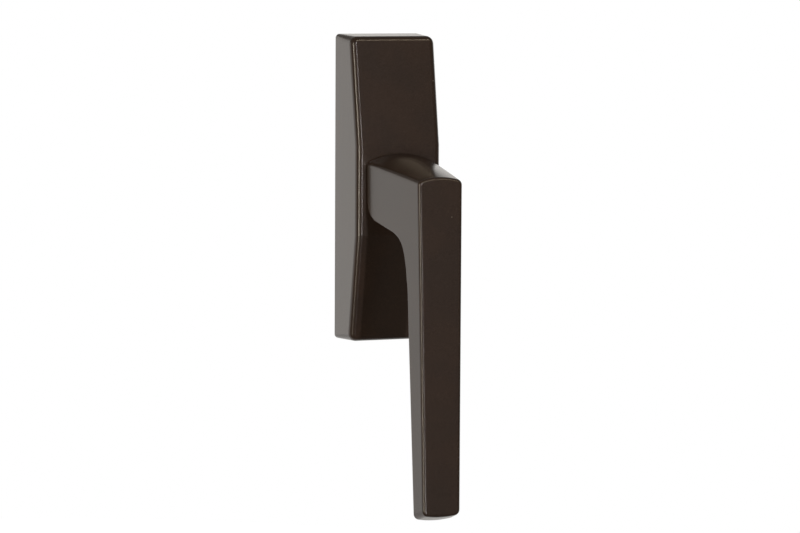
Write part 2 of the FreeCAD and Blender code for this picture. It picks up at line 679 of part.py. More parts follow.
def back_plate():
    """Steel plate that closes the back of the case."""
    depths = (GASKET_DEPTH, PLATE_DEPTH)
    cut_depths = (GASKET_DEPTH - 1.0, PLATE_DEPTH + 1.0)
    head_depths = (GASKET_DEPTH, GASKET_DEPTH + PLATE_SCREW_HEAD_HEIGHT)
    plate = rounded_slab(depths)
    plate = plate.cut(pin_slot(DRIVE_PIN_COLLAR_RADIUS + 0.3, cut_depths))
    for end in (-1, 1):
        plate = plate.cut(disc(FIXING_HOLE_RADIUS, cut_depths, 0.0, end * FIXING_SCREW_Z))
        for side in (-1, 1):
            x = side * PLATE_SCREW_X
            z = end * PLATE_SCREW_Z
            plate = plate.cut(disc(PLATE_SCREW_RADIUS, cut_depths, x, z))
            plate = plate.cut(cone(PLATE_SCREW_HEAD_RADIUS, PLATE_SCREW_RADIUS, head_depths, x, z))
    return plate


def back_plate_screws():
    """Four countersunk screws that hold the back plate on the case."""
    screws = []
    head_depths = (GASKET_DEPTH, GASKET_DEPTH + PLATE_SCREW_HEAD_HEIGHT)
    for side in (-1, 1):
        for end in (-1, 1):
            x = side * PLATE_SCREW_X
            z = end * PLATE_SCREW_Z
            head = cone(PLATE_SCREW_HEAD_RADIUS, PLATE_SCREW_RADIUS, head_depths, x, z)
            shank = disc(PLATE_SCREW_RADIUS, (GASKET_DEPTH + 0.5, 9.0), x, z)
            screw = head.fuse(shank).removeSplitter()
            screws.append(screw.cut(hex_socket(1.8, (GASKET_DEPTH - 0.5, GASKET_DEPTH + 0.9), x, z)))
    return Part.makeCompound(screws)


def back_gasket():
    """Foam sheet between the back plate and the sash."""
    depths = (0.0, GASKET_DEPTH)
    sheet = block((-CASE_HALF_WIDTH, CASE_HALF_WIDTH), depths, (-GASKET_HALF_HEIGHT, GASKET_HALF_HEIGHT))
    cut_depths = (-1.0, GASKET_DEPTH + 1.0)
    sheet = sheet.cut(pin_slot(DRIVE_PIN_COLLAR_RADIUS + 0.8, cut_depths))
    for end in (-1, 1):
        sheet = sheet.cut(disc(3.0, cut_depths, 0.0, end * FIXING_SCREW_Z))
    return sheet


def fixing_screws():
    """Two socket screws through the case into the sash, thinner above the thread."""
    screws = []
    head_back = FIXING_SEAT_DEPTH + FIXING_WASHER_THICKNESS
    head_front = head_back + 3.4
    for end in (-1, 1):
        z = end * FIXING_SCREW_Z
        head = disc(FIXING_HEAD_RADIUS, (head_back, head_front), 0.0, z)
        shank = disc(FIXING_SHANK_RADIUS, (-FREE_END_START, head_back + 0.5), 0.0, z)
        thread = disc(FIXING_SCREW_RADIUS, (-FIXING_SCREW_REACH, -FREE_END_START), 0.0, z)
        tip = edges_where(thread, lambda p: p.y > FIXING_SCREW_REACH - 0.01)
        screw = head.fuse(shank).fuse(thread.makeChamfer(TIP_CHAMFER, tip))
        screws.append(screw.cut(hex_socket(4.0, (head_front - 2.2, head_front + 0.5), 0.0, z)))
    return Part.makeCompound(screws)


def fixing_screw_washers():
    """Washers under the heads of the fixing screws."""
    washers = []
    for end in (-1, 1):
        depths = (FIXING_SEAT_DEPTH, FIXING_SEAT_DEPTH + FIXING_WASHER_THICKNESS)
        washers.append(ring(5.0, 2.7, depths, 0.0, end * FIXING_SCREW_Z))
    return Part.makeCompound(washers)


def glide_strip():
    """Plastic strip on the channel wall behind the rack."""
    x_range = (RACK_BACK_X + RUNNING_GAP, CHANNEL_RIGHT_X)
    half = CHANNEL_HALF_HEIGHT - 0.2
    return block(x_range, (PLATE_DEPTH, CHANNEL_FRONT_DEPTH), (-half, half))


def neck_bush():
    """Plastic bush in the cover's hole, with a flange inside the cover."""
    inner = JOURNAL_RADIUS + RUNNING_GAP
    wall_depth = LAND_DEPTH - COVER_FRONT_WALL
    sleeve = disc(COVER_HOLE_RADIUS - 0.03, (wall_depth - 1.2, LAND_DEPTH - 0.2))
    flange = disc(13.0, (wall_depth - 1.2, wall_depth))
    return sleeve.fuse(flange).cut(disc(inner, (wall_depth - 3.0, LAND_DEPTH + 1.0)))


def pinion_bearing():
    """Flanged sleeve that the pinion hub turns in."""
    sleeve = disc(BEARING_OUTER_RADIUS, (CHANNEL_FRONT_DEPTH, BOSS_FRONT_DEPTH + 0.2))
    flange = disc(11.5, (BOSS_FRONT_DEPTH, BEARING_FLANGE_DEPTH))
    bore = disc(HUB_RADIUS + RUNNING_GAP, (CHANNEL_FRONT_DEPTH - 1.0, BEARING_FLANGE_DEPTH + 1.0))
    return sleeve.fuse(flange).cut(bore)


def cover_clips():
    """Four spring clips in the case sides whose ridges snap into the cover."""
    clips = []
    back_x = CASE_HALF_WIDTH - 0.9
    for side in (-1, 1):
        for end in (-1, 1):
            x_range = sorted((side * back_x, side * (back_x + 0.6)))
            z_range = (end * CLIP_Z - 3.2, end * CLIP_Z + 3.2)
            leaf = block(x_range, (CLIP_RIDGE_DEPTH - 2.8, CLIP_RIDGE_DEPTH + 2.8), z_range)
            start = at(side * (CASE_HALF_WIDTH - 0.3), CLIP_RIDGE_DEPTH, z_range[0])
            ridge = Part.makeCylinder(CLIP_RIDGE_RADIUS, 6.4, start, AXIS_Z)
            bulge = sorted((side * (back_x + 0.3), side * (back_x + 3.0)))
            ridge = ridge.common(block(bulge, (0.0, 20.0), z_range))
            clips.append(leaf.fuse(ridge))
    return Part.makeCompound(clips)


NODES = {
    "cover": cover,
    "gear_case": gear_case,
    "back_plate": back_plate,
    "back_plate_screws": back_plate_screws,
    "back_gasket": back_gasket,
    "neck_bush": neck_bush,
    "pinion_bearing": pinion_bearing,
    "cover_clips": cover_clips,
    "fixing_screws": fixing_screws,
    "fixing_screw_washers": fixing_screw_washers,
    "glide_strip": glide_strip,
    "detent_springs": detent_springs,
    "lever": lever,
    "spindle": spindle,
    "grub_screw": grub_screw,
    "pinion": pinion,
    "detent_ring": detent_ring,
    "thrust_washer": thrust_washer,
    "wave_washer": wave_washer,
    "retaining_ring": retaining_ring,
    "rack_slide": rack_slide,
    "drive_pins": drive_pins,
    "glide_shoe": glide_shoe,
}


def main():
    """Build every node and write it to its STEP file."""
    os.makedirs("parts", exist_ok=True)
    for name, build in NODES.items():
        shape = build()
        if not shape.isValid():
            raise ValueError(name + " is not a valid shape")
        shape.exportStep("parts/" + name + ".step")
        print(name, len(shape.Solids), round(shape.Volume, 1))


main()
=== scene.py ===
"""Looks of a surface-mounted tilt turn window handle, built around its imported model."""

import json
import logging
import math
from dataclasses import dataclass, field
from enum import Enum
from typing import Any

import bmesh
import bpy
from mathutils import Matrix, Vector


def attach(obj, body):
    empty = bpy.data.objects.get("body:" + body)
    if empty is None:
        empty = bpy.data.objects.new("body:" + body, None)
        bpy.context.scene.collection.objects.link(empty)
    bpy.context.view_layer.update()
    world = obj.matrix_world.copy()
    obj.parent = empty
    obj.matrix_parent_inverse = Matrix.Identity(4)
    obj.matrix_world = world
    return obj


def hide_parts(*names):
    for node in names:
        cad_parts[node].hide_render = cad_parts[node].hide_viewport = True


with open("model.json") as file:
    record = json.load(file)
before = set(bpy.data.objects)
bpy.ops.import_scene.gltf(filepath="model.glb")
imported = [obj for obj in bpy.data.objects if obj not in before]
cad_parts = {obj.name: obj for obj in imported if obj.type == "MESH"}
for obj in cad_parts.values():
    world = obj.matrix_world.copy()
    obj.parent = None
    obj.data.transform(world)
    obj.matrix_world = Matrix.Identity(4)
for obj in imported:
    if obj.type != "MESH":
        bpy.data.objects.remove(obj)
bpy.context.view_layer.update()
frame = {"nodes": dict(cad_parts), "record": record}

LOG = logging.getLogger("tilt_turn_handle")
MM = 0.001

Colour = tuple[float, float, float]


class Body(Enum):
    """The three bodies that the pieces ride on."""

    BASE = "base"
    LEVER = "lever"
    RACK = "rack"


class Slot(Enum):
    """Material slots of the handle."""

    BRONZE_COAT = "bronze_coat"
    DIE_CAST_ZINC = "die_cast_zinc"
    PLATED_STEEL = "plated_steel"
    SPRING_STEEL = "spring_steel"
    GEAR_STEEL = "gear_steel"
    BLACK_STEEL = "black_steel"
    BLACK_NYLON = "black_nylon"
    NATURAL_NYLON = "natural_nylon"
    FOAM_SEAL = "foam_seal"


def mount(name: str) -> dict[str, Any]:
    """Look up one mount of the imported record.

    Args:
        name: the mount's name.

    Returns:
        The mount's entry in the record.
    """
    for entry in frame["record"]["mounts"]:
        if entry["name"] == name:
            return entry
    raise KeyError(name)


# ------------------------------------------------------------------ shader groups
# Scales count repeats per metre, ranges are the values between which a smooth step rises.
GROUP_OUTPUTS = {
    "Colour": "NodeSocketColor",
    "Roughness": "NodeSocketFloat",
    "Height": "NodeSocketFloat",
}
NOISE_RANGE = (0.3, 0.7)
COAT_CLOUD_SCALE = 55.0
COAT_CLOUD_RANGE = (0.35, 0.65)
COAT_GRAIN_RANGE = (0.25, 0.75)
COAT_GRAIN_DARKENING = 0.35
COAT_GRAIN_HEIGHT = 0.35
COAT_ROUGHNESS_SWING = 0.03
# Rare small specks in the coat: their bump is surface texture, their pale colour is painted sparkle standing
# in for light glinting on the coat.
SPECK_SPARKLE_CELL_SCALE = 420.0
SPECK_SPARKLE_RARITY_RANGE = (0.955, 0.965)
SPECK_SPARKLE_SIZE_RANGE = (0.16, 0.05)
SPECK_BUMP_HEIGHT = 0.8
METAL_CLOUD_RANGE = (0.32, 0.68)
METAL_PIT_SCALE = 2600.0
METAL_ROUGHNESS_SWING = 0.08
MOULD_CLOUD_SCALE = 240.0
MOULD_ROUGHNESS_SWING = 0.06


@dataclass
class ShaderGroups:
    """Shader node groups that several finishes share, each built once."""

    built: dict[str, bpy.types.NodeTree] = field(default_factory=dict)

    def start(self, name: str, inputs: dict[str, Any]) -> bpy.types.NodeTree:
        """Create an empty group with its sockets.

        Args:
            name: the group's name.
            inputs: default value of each input, by name; a tuple makes a colour.

        Returns:
            The new node tree.
        """
        tree = bpy.data.node_groups.new(name, "ShaderNodeTree")
        for label, value in inputs.items():
            kind = "NodeSocketColor" if isinstance(value, tuple) else "NodeSocketFloat"
            socket = tree.interface.new_socket(label, in_out="INPUT", socket_type=kind)
            socket.default_value = (*value, 1.0) if isinstance(value, tuple) else value
        for label, kind in GROUP_OUTPUTS.items():
            tree.interface.new_socket(label, in_out="OUTPUT", socket_type=kind)
        self.built[name] = tree
        return tree

    def powder_coat(self) -> bpy.types.NodeTree:
        """Orange peel, grain and rare pale specks of a satin powder coat; the specks' bump is surface
        texture, their pale colour is painted sparkle.

        Returns:
            The group, with outputs Colour, Roughness and Height.
        """
        name = "powder_coat"
        if name in self.built:
            return self.built[name]
        tree = self.start(name, {
            "Base": (0.04, 0.026, 0.019),
            "Warm": (0.05, 0.031, 0.021),
            "Speck Sparkle": (0.3, 0.26, 0.22),
            "Speck Sparkle Amount": 0.5,
            "Roughness": 0.34,
            "Peel Scale": 900.0,
            "Grain Scale": 3800.0,
        })
        nodes = tree.nodes
        links = tree.links
        entry = nodes.new("NodeGroupInput")
        leave = nodes.new("NodeGroupOutput")
        place = nodes.new("ShaderNodeTexCoord").outputs["Object"]
        cloud = self.noise(tree, place, COAT_CLOUD_SCALE, detail=3.0)
        peel = self.noise(tree, place, entry.outputs["Peel Scale"], detail=1.5)
        grain = self.noise(tree, place, entry.outputs["Grain Scale"], detail=1.0)

        # Mask of rare small specks, used for their bump and for their painted sparkle colour.
        cell = nodes.new("ShaderNodeTexVoronoi")
        cell.inputs["Scale"].default_value = SPECK_SPARKLE_CELL_SCALE
        links.new(place, cell.inputs["Vector"])
        rare = self.ramp(tree, cell.outputs["Color"], *SPECK_SPARKLE_RARITY_RANGE)
        small = self.ramp(tree, cell.outputs["Distance"], *SPECK_SPARKLE_SIZE_RANGE)
        speck_sparkle = self.math(tree, "MULTIPLY", rare, small)
        speck_sparkle = self.math(tree, "MULTIPLY", speck_sparkle, entry.outputs["Speck Sparkle Amount"])

        cloudy = self.ramp(tree, cloud, *COAT_CLOUD_RANGE)
        tint = self.mix(tree, cloudy, entry.outputs["Base"], entry.outputs["Warm"])
        speckle = nodes.new("ShaderNodeMixRGB")
        speckle.blend_type = "MULTIPLY"
        speckle.inputs["Fac"].default_value = COAT_GRAIN_DARKENING
        links.new(tint, speckle.inputs["Color1"])
        links.new(self.ramp(tree, grain, *COAT_GRAIN_RANGE), speckle.inputs["Color2"])
        # Painted sparkle: the specks take a pale colour in place of light glinting on them.
        colour = self.mix(tree, speck_sparkle, speckle.outputs["Color"], entry.outputs["Speck Sparkle"])
        links.new(colour, leave.inputs["Colour"])

        rough = self.swing(tree, entry.outputs["Roughness"], grain, COAT_ROUGHNESS_SWING, NOISE_RANGE)
        links.new(rough, leave.inputs["Roughness"])
        height = self.math(tree, "ADD", peel, self.math(tree, "MULTIPLY", grain, COAT_GRAIN_HEIGHT))
        height = self.math(tree, "ADD", height, self.math(tree, "MULTIPLY", speck_sparkle, SPECK_BUMP_HEIGHT))
        links.new(height, leave.inputs["Height"])
        return tree

    def worn_metal(self) -> bpy.types.NodeTree:
        """Cloudy tint and fine pits of bare or plated metal, stretched along Y where it is machined.

        Returns:
            The group, with outputs Colour, Roughness and Height.
        """
        name = "worn_metal"
        if name in self.built:
            return self.built[name]
        tree = self.start(name, {
            "Light": (0.62, 0.62, 0.6),
            "Dark": (0.42, 0.42, 0.42),
            "Roughness": 0.35,
            "Cloud Scale": 160.0,
            "Stretch": 1.0,
        })
        nodes = tree.nodes
        links = tree.links
        entry = nodes.new("NodeGroupInput")
        leave = nodes.new("NodeGroupOutput")
        place = nodes.new("ShaderNodeTexCoord")
        squeeze = nodes.new("ShaderNodeCombineXYZ")
        squeeze.inputs["X"].default_value = 1.0
        squeeze.inputs["Z"].default_value = 1.0
        links.new(entry.outputs["Stretch"], squeeze.inputs["Y"])
        scaled = nodes.new("ShaderNodeVectorMath")
        scaled.operation = "MULTIPLY"
        links.new(place.outputs["Object"], scaled.inputs[0])
        links.new(squeeze.outputs["Vector"], scaled.inputs[1])
        cloud = self.noise(tree, scaled.outputs["Vector"], entry.outputs["Cloud Scale"], detail=5.0)
        pits = self.noise(tree, scaled.outputs["Vector"], METAL_PIT_SCALE, detail=2.0)

        mask = self.ramp(tree, cloud, *METAL_CLOUD_RANGE)
        links.new(self.mix(tree, mask, entry.outputs["Dark"], entry.outputs["Light"]), leave.inputs["Colour"])
        rough = self.swing(tree, entry.outputs["Roughness"], cloud, METAL_ROUGHNESS_SWING, NOISE_RANGE)
        links.new(rough, leave.inputs["Roughness"])
        links.new(pits, leave.inputs["Height"])
        return tree

    def moulded(self) -> bpy.types.NodeTree:
        """Soft mottling and a cellular grain of moulded plastic or foam.

        Returns:
            The group, with outputs Colour, Roughness and Height.
        """
        name = "moulded"
        if name in self.built:
            return self.built[name]
        tree = self.start(name, {
            "Light": (0.75, 0.73, 0.66),
            "Dark": (0.68, 0.66, 0.58),
            "Roughness": 0.5,
            "Cell Scale": 1500.0,
        })
        nodes = tree.nodes
        links = tree.links
        entry = nodes.new("NodeGroupInput")
        leave = nodes.new("NodeGroupOutput")
        place = nodes.new("ShaderNodeTexCoord").outputs["Object"]
        cell = nodes.new("ShaderNodeTexVoronoi")
        links.new(place, cell.inputs["Vector"])
        links.new(entry.outputs["Cell Scale"], cell.inputs["Scale"])
        cloud = self.noise(tree, place, MOULD_CLOUD_SCALE, detail=3.0)
        mask = self.ramp(tree, cloud, *NOISE_RANGE)
        links.new(self.mix(tree, mask, entry.outputs["Dark"], entry.outputs["Light"]), leave.inputs["Colour"])
        rough = self.swing(tree, entry.outputs["Roughness"], cloud, MOULD_ROUGHNESS_SWING, (0.0, 1.0))
        links.new(rough, leave.inputs["Roughness"])
        links.new(cell.outputs["Distance"], leave.inputs["Height"])
        return tree

    @staticmethod
    def noise(tree: bpy.types.NodeTree, place: bpy.types.NodeSocket, scale: Any,
              detail: float) -> bpy.types.NodeSocket:
        """Add a noise texture.

        Args:
            tree: the tree to add the node to.
            place: the coordinates' socket.
            scale: repeats per metre, as a socket or a number.
            detail: the number of octaves.

        Returns:
            The socket of the noise value.
        """
        node = tree.nodes.new("ShaderNodeTexNoise")
        node.inputs["Detail"].default_value = detail
        tree.links.new(place, node.inputs["Vector"])
        if isinstance(scale, bpy.types.NodeSocket):
            tree.links.new(scale, node.inputs["Scale"])
        else:
            node.inputs["Scale"].default_value = scale
        return node.outputs["Fac"]

    @classmethod
    def swing(cls, tree: bpy.types.NodeTree, middle: bpy.types.NodeSocket, source: bpy.types.NodeSocket,
              amount: float, span: tuple[float, float]) -> bpy.types.NodeSocket:
        """Let a value swing up and down with a texture.

        Args:
            tree: the tree to add the nodes to.
            middle: the value's socket.
            source: the texture's socket.
            amount: how far the value moves either way.
            span: the texture's values at the two ends of the swing.

        Returns:
            The result's socket.
        """
        node = tree.nodes.new("ShaderNodeMapRange")
        node.inputs["From Min"].default_value = span[0]
        node.inputs["From Max"].default_value = span[1]
        node.inputs["To Min"].default_value = -amount
        node.inputs["To Max"].default_value = amount
        tree.links.new(source, node.inputs["Value"])
        return cls.math(tree, "ADD", middle, node.outputs["Result"])

    @staticmethod
    def ramp(tree: bpy.types.NodeTree, source: bpy.types.NodeSocket, low: float,
             high: float) -> bpy.types.NodeSocket:
        """Smooth step of a value from 0 at low to 1 at high.

        Args:
            tree: the tree to add the node to.
            source: the value.
            low: where the result is 0.
            high: where the result is 1.

        Returns:
            The result's socket.
        """
        node = tree.nodes.new("ShaderNodeMapRange")
        node.interpolation_type = "SMOOTHSTEP"
        node.inputs["From Min"].default_value = low
        node.inputs["From Max"].default_value = high
        tree.links.new(source, node.inputs["Value"])
        return node.outputs["Result"]

    @staticmethod
    def math(tree: bpy.types.NodeTree, operation: str, first: Any, second: Any) -> bpy.types.NodeSocket:
        """Join two values with one operation.

        Args:
            tree: the tree to add the node to.
            operation: the Math node's operation.
            first: a socket or a number.
            second: a socket or a number.

        Returns:
            The result's socket.
        """
        node = tree.nodes.new("ShaderNodeMath")
        node.operation = operation
        for index, value in enumerate((first, second)):
            if isinstance(value, bpy.types.NodeSocket):
                tree.links.new(value, node.inputs[index])
            else:
                node.inputs[index].default_value = value
        return node.outputs["Value"]

    @staticmethod
    def mix(tree: bpy.types.NodeTree, mask: Any, low: Any, high: Any) -> bpy.types.NodeSocket:
        """Mix two colours by a mask.

        Args:
            tree: the tree to add the node to.
            mask: 0 gives low, 1 gives high.
            low: the first colour's socket.
            high: the second colour's socket.

        Returns:
            The mixed colour's socket.
        """
        node = tree.nodes.new("ShaderNodeMixRGB")
        tree.links.new(mask, node.inputs["Fac"])
        tree.links.new(low, node.inputs["Color1"])
        tree.links.new(high, node.inputs["Color2"])
        return node.outputs["Color"]


GROUPS = ShaderGroups()


# ------------------------------------------------------------------ finishes
def dressed(name: str, group: bpy.types.NodeTree, values: dict[str, Any], bump_metres: float,
            bump_strength: float) -> tuple[bpy.types.Material, bpy.types.Node]:
    """Make a material whose colour, roughness and bump come from a shared group.

    Args:
        name: the material's name.
        group: the shared group, with outputs Colour, Roughness and Height.
        values: the group's input values, by name.
        bump_metres: height of the bump.
        bump_strength: strength of the bump.

    Returns:
        The material and its Principled BSDF node.
    """
    material = bpy.data.materials.new(name)
    material.use_nodes = True
    tree = material.node_tree
    shader = tree.nodes["Principled BSDF"]
    place = tree.nodes.new("ShaderNodeGroup")
    place.node_tree = group
    for label, value in values.items():
        place.inputs[label].default_value = (*value, 1.0) if isinstance(value, tuple) else value
    bump = tree.nodes.new("ShaderNodeBump")
    bump.inputs["Strength"].default_value = bump_strength
    bump.inputs["Distance"].default_value = bump_metres
    tree.links.new(place.outputs["Colour"], shader.inputs["Base Color"])
    tree.links.new(place.outputs["Roughness"], shader.inputs["Roughness"])
    tree.links.new(place.outputs["Height"], bump.inputs["Height"])
    tree.links.new(bump.outputs["Normal"], shader.inputs["Normal"])
    return material, shader


@dataclass(frozen=True)
class CoatFinish:
    """Satin powder coat on the cover and the lever."""

    name: str = "bronze_powder_coat"
    base: Colour = (0.033, 0.0214, 0.0160)
    warm: Colour = (0.038, 0.0236, 0.0168)
    # Pale colour of the specks, a painted sparkle, and how strongly it shows.
    speck_sparkle: Colour = (0.30, 0.26, 0.22)
    speck_sparkle_amount: float = 0.5
    roughness: float = 0.21
    ior: float = 1.5
    bump_metres: float = 0.00002
    bump_strength: float = 0.35

    def material(self) -> bpy.types.Material:
        """Build the coat's material.

        Returns:
            The material.
        """
        values = {
            "Base": self.base,
            "Warm": self.warm,
            "Speck Sparkle": self.speck_sparkle,
            "Speck Sparkle Amount": self.speck_sparkle_amount,
            "Roughness": self.roughness,
        }
        group = GROUPS.powder_coat()
        material, shader = dressed(self.name, group, values, self.bump_metres, self.bump_strength)
        shader.inputs["IOR"].default_value = self.ior
        return material


@dataclass(frozen=True)
class MetalFinish:
    """Bare, cast or plated metal of a hidden piece."""

    name: str
    light: Colour
    dark: Colour
    roughness: float
    cloud_scale: float = 160.0
    stretch: float = 1.0
    bump_metres: float = 0.00001
    bump_strength: float = 0.25

    def material(self) -> bpy.types.Material:
        """Build the metal's material.

        Returns:
            The material.
        """
        values = {
            "Light": self.light,
            "Dark": self.dark,
            "Roughness": self.roughness,
            "Cloud Scale": self.cloud_scale,
            "Stretch": self.stretch,
        }
        group = GROUPS.worn_metal()
        material, shader = dressed(self.name, group, values, self.bump_metres, self.bump_strength)
        shader.inputs["Metallic"].default_value = 1.0
        return material


@dataclass(frozen=True)
class PlasticFinish:
    """Moulded plastic or foam."""

    name: str
    light: Colour
    dark: Colour
    roughness: float
    cell_scale: float = 1500.0
    bump_metres: float = 0.00002
    bump_strength: float = 0.3

    def material(self) -> bpy.types.Material:
        """Build the plastic's material.

        Returns:
            The material.
        """
        values = {
            "Light": self.light,
            "Dark": self.dark,
            "Roughness": self.roughness,
            "Cell Scale": self.cell_scale,
        }
        group = GROUPS.moulded()
        material, _ = dressed(self.name, group, values, self.bump_metres, self.bump_strength)
        return material


Finish = CoatFinish | MetalFinish | PlasticFinish

FINISHES: dict[Slot, Finish] = {
    Slot.BRONZE_COAT: CoatFinish(),
    Slot.DIE_CAST_ZINC: MetalFinish(
        "die_cast_zinc", light=(0.50, 0.50, 0.51), dark=(0.36, 0.36, 0.37), roughness=0.5, cloud_scale=220.0),
    Slot.PLATED_STEEL: MetalFinish(
        "zinc_plated_steel", light=(0.70, 0.69, 0.65), dark=(0.52, 0.52, 0.52), roughness=0.3,
        cloud_scale=130.0),
    Slot.SPRING_STEEL: MetalFinish(
        "spring_steel", light=(0.34, 0.34, 0.36), dark=(0.22, 0.22, 0.25), roughness=0.32, cloud_scale=180.0),
    Slot.GEAR_STEEL: MetalFinish(
        "gear_steel", light=(0.52, 0.52, 0.53), dark=(0.38, 0.38, 0.40), roughness=0.28, cloud_scale=140.0,
        stretch=6.0),
    Slot.BLACK_STEEL: MetalFinish(
        "blackened_steel", light=(0.07, 0.07, 0.075), dark=(0.03, 0.03, 0.035), roughness=0.4,
        cloud_scale=200.0),
    Slot.BLACK_NYLON: PlasticFinish(
        "black_nylon", light=(0.035, 0.035, 0.035), dark=(0.022, 0.022, 0.022), roughness=0.5),
    Slot.NATURAL_NYLON: PlasticFinish(
        "natural_nylon", light=(0.76, 0.74, 0.67), dark=(0.66, 0.64, 0.56), roughness=0.45),
    Slot.FOAM_SEAL: PlasticFinish(
        "foam_seal", light=(0.045, 0.045, 0.045), dark=(0.02, 0.02, 0.02), roughness=0.9, cell_scale=1100.0,
        bump_metres=0.0002, bump_strength=0.8),
}


@dataclass
class FinishShelf:
    """Materials by slot, each built when it is first asked for."""

    made: dict[Slot, bpy.types.Material] = field(default_factory=dict)

    def get(self, slot: Slot) -> bpy.types.Material:
        """Give the material of a slot.

        Args:
            slot: the slot.

        Returns:
            The material.
        """
        if slot not in self.made:
            self.made[slot] = FINISHES[slot].material()
        return self.made[slot]


SHELF = FinishShelf()


def paint(node: str, slot: Slot) -> None:
    """Give a CAD node the material of a slot.

    Args:
        node: the CAD node's name.
        slot: the slot whose finish it takes.
    """
    mesh = frame["nodes"][node].data
    mesh.materials.clear()
    mesh.materials.append(SHELF.get(slot))
    LOG.info("node %s takes %s", node, slot.value)


# ------------------------------------------------------------------ screw threads
@dataclass(frozen=True)
class ThreadRule:
    """Helical ridges on a pair of parallel screws, made by Geometry Nodes."""

    pitch: float = 0.0008
    start: float = 0.0010
    length: float = 0.0101
    root_radius: float = 0.00212
    ridge: float = 0.00036
    steps_per_turn: int = 24
    section_corners: int = 4
    sharp_degrees: float = 30.0

    def inputs(self, half_spacing: float, finish: bpy.types.Material) -> dict[str, Any]:
        """Give the tree's named inputs.

        Args:
            half_spacing: half the distance between the two screws.
            finish: the material of the screws.

        Returns:
            The value of each input, by name.
        """
        return {
            "Turns": self.length / self.pitch,
            "Steps": self.steps_per_turn,
            "Start": self.start,
            "Length": self.length,
            "Root Radius": self.root_radius,
            "Ridge": self.ridge,
            "Half Spacing": half_spacing,
            "Finish": finish,
        }

    def tree(self) -> bpy.types.NodeTree:
        """Build the node tree.

        Returns:
            The tree, with one input for each size and one for the finish.
        """
        tree = bpy.data.node_groups.new("screw_thread", "GeometryNodeTree")
        sockets = {
            "Geometry": "NodeSocketGeometry",
            "Turns": "NodeSocketFloat",
            "Steps": "NodeSocketInt",
            "Start": "NodeSocketFloat",
            "Length": "NodeSocketFloat",
            "Root Radius": "NodeSocketFloat",
            "Ridge": "NodeSocketFloat",
            "Half Spacing": "NodeSocketFloat",
            "Finish": "NodeSocketMaterial",
        }
        for label, kind in sockets.items():
            tree.interface.new_socket(label, in_out="INPUT", socket_type=kind)
        tree.interface.new_socket("Geometry", in_out="OUTPUT", socket_type="NodeSocketGeometry")
        nodes = tree.nodes
        links = tree.links
        entry = nodes.new("NodeGroupInput")
        leave = nodes.new("NodeGroupOutput")

        spiral = nodes.new("GeometryNodeCurveSpiral")
        links.new(entry.outputs["Steps"], spiral.inputs["Resolution"])
        links.new(entry.outputs["Turns"], spiral.inputs["Rotations"])
        links.new(entry.outputs["Root Radius"], spiral.inputs["Start Radius"])
        links.new(entry.outputs["Root Radius"], spiral.inputs["End Radius"])
        links.new(entry.outputs["Length"], spiral.inputs["Height"])
        section = nodes.new("GeometryNodeCurvePrimitiveCircle")
        section.inputs["Resolution"].default_value = self.section_corners
        links.new(entry.outputs["Ridge"], section.inputs["Radius"])
        ridge = nodes.new("GeometryNodeCurveToMesh")
        ridge.inputs["Fill Caps"].default_value = True
        links.new(spiral.outputs["Curve"], ridge.inputs["Curve"])
        links.new(section.outputs["Curve"], ridge.inputs["Profile Curve"])
        lay = nodes.new("GeometryNodeTransform")
        lay.inputs["Rotation"].default_value = (-math.pi / 2, 0.0, 0.0)
        shift = nodes.new("ShaderNodeCombineXYZ")
        links.new(entry.outputs["Start"], shift.inputs["Y"])
        links.new(ridge.outputs["Mesh"], lay.inputs["Geometry"])
        links.new(shift.outputs["Vector"], lay.inputs["Translation"])

        low = ShaderGroups.math(tree, "MULTIPLY", entry.outputs["Half Spacing"], -1.0)
        gap = ShaderGroups.math(tree, "MULTIPLY", entry.outputs["Half Spacing"], 2.0)
        first = nodes.new("ShaderNodeCombineXYZ")
        links.new(low, first.inputs["Z"])
        step = nodes.new("ShaderNodeCombineXYZ")
        links.new(gap, step.inputs["Z"])
        row = nodes.new("GeometryNodeMeshLine")
        row.inputs["Count"].default_value = 2
        links.new(first.outputs["Vector"], row.inputs["Start Location"])
        links.new(step.outputs["Vector"], row.inputs["Offset"])
        place = nodes.new("GeometryNodeInstanceOnPoints")
        links.new(row.outputs["Mesh"], place.inputs["Points"])
        links.new(lay.outputs["Geometry"], place.inputs["Instance"])

        join = nodes.new("GeometryNodeJoinGeometry")
        links.new(place.outputs["Instances"], join.inputs["Geometry"])
        links.new(entry.outputs["Geometry"], join.inputs["Geometry"])
        real = nodes.new("GeometryNodeRealizeInstances")
        links.new(join.outputs["Geometry"], real.inputs["Geometry"])
        finish = nodes.new("GeometryNodeSetMaterial")
        links.new(real.outputs["Geometry"], finish.inputs["Geometry"])
        links.new(entry.outputs["Finish"], finish.inputs["Material"])
        links.new(finish.outputs["Geometry"], leave.inputs["Geometry"])
        return tree

    def grow(self, core: bpy.types.Mesh, name: str, values: dict[str, Any]) -> bpy.types.Object:
        """Run the tree on a mesh and keep the result as a plain mesh.

        Args:
            core: the screws without their ridges.
            name: the new piece's name.
            values: the tree's input values, by name.

        Returns:
            The finished object.
        """
        source = bpy.data.objects.new(name + "_source", core)
        bpy.context.scene.collection.objects.link(source)
        tree = self.tree()
        modifier = source.modifiers.new("thread", "NODES")
        modifier.node_group = tree
        for item in tree.interface.items_tree:
            if item.in_out == "INPUT" and item.name in values:
                modifier[item.identifier] = values[item.name]
        graph = bpy.context.evaluated_depsgraph_get()
        mesh = bpy.data.meshes.new_from_object(source.evaluated_get(graph))
        mesh.name = name
        source.modifiers.clear()
        bpy.data.objects.remove(source)
        mesh.set_sharp_from_angle(angle=math.radians(self.sharp_degrees))
        piece = bpy.data.objects.new(name, mesh)
        bpy.context.scene.collection.objects.link(piece)
        return piece


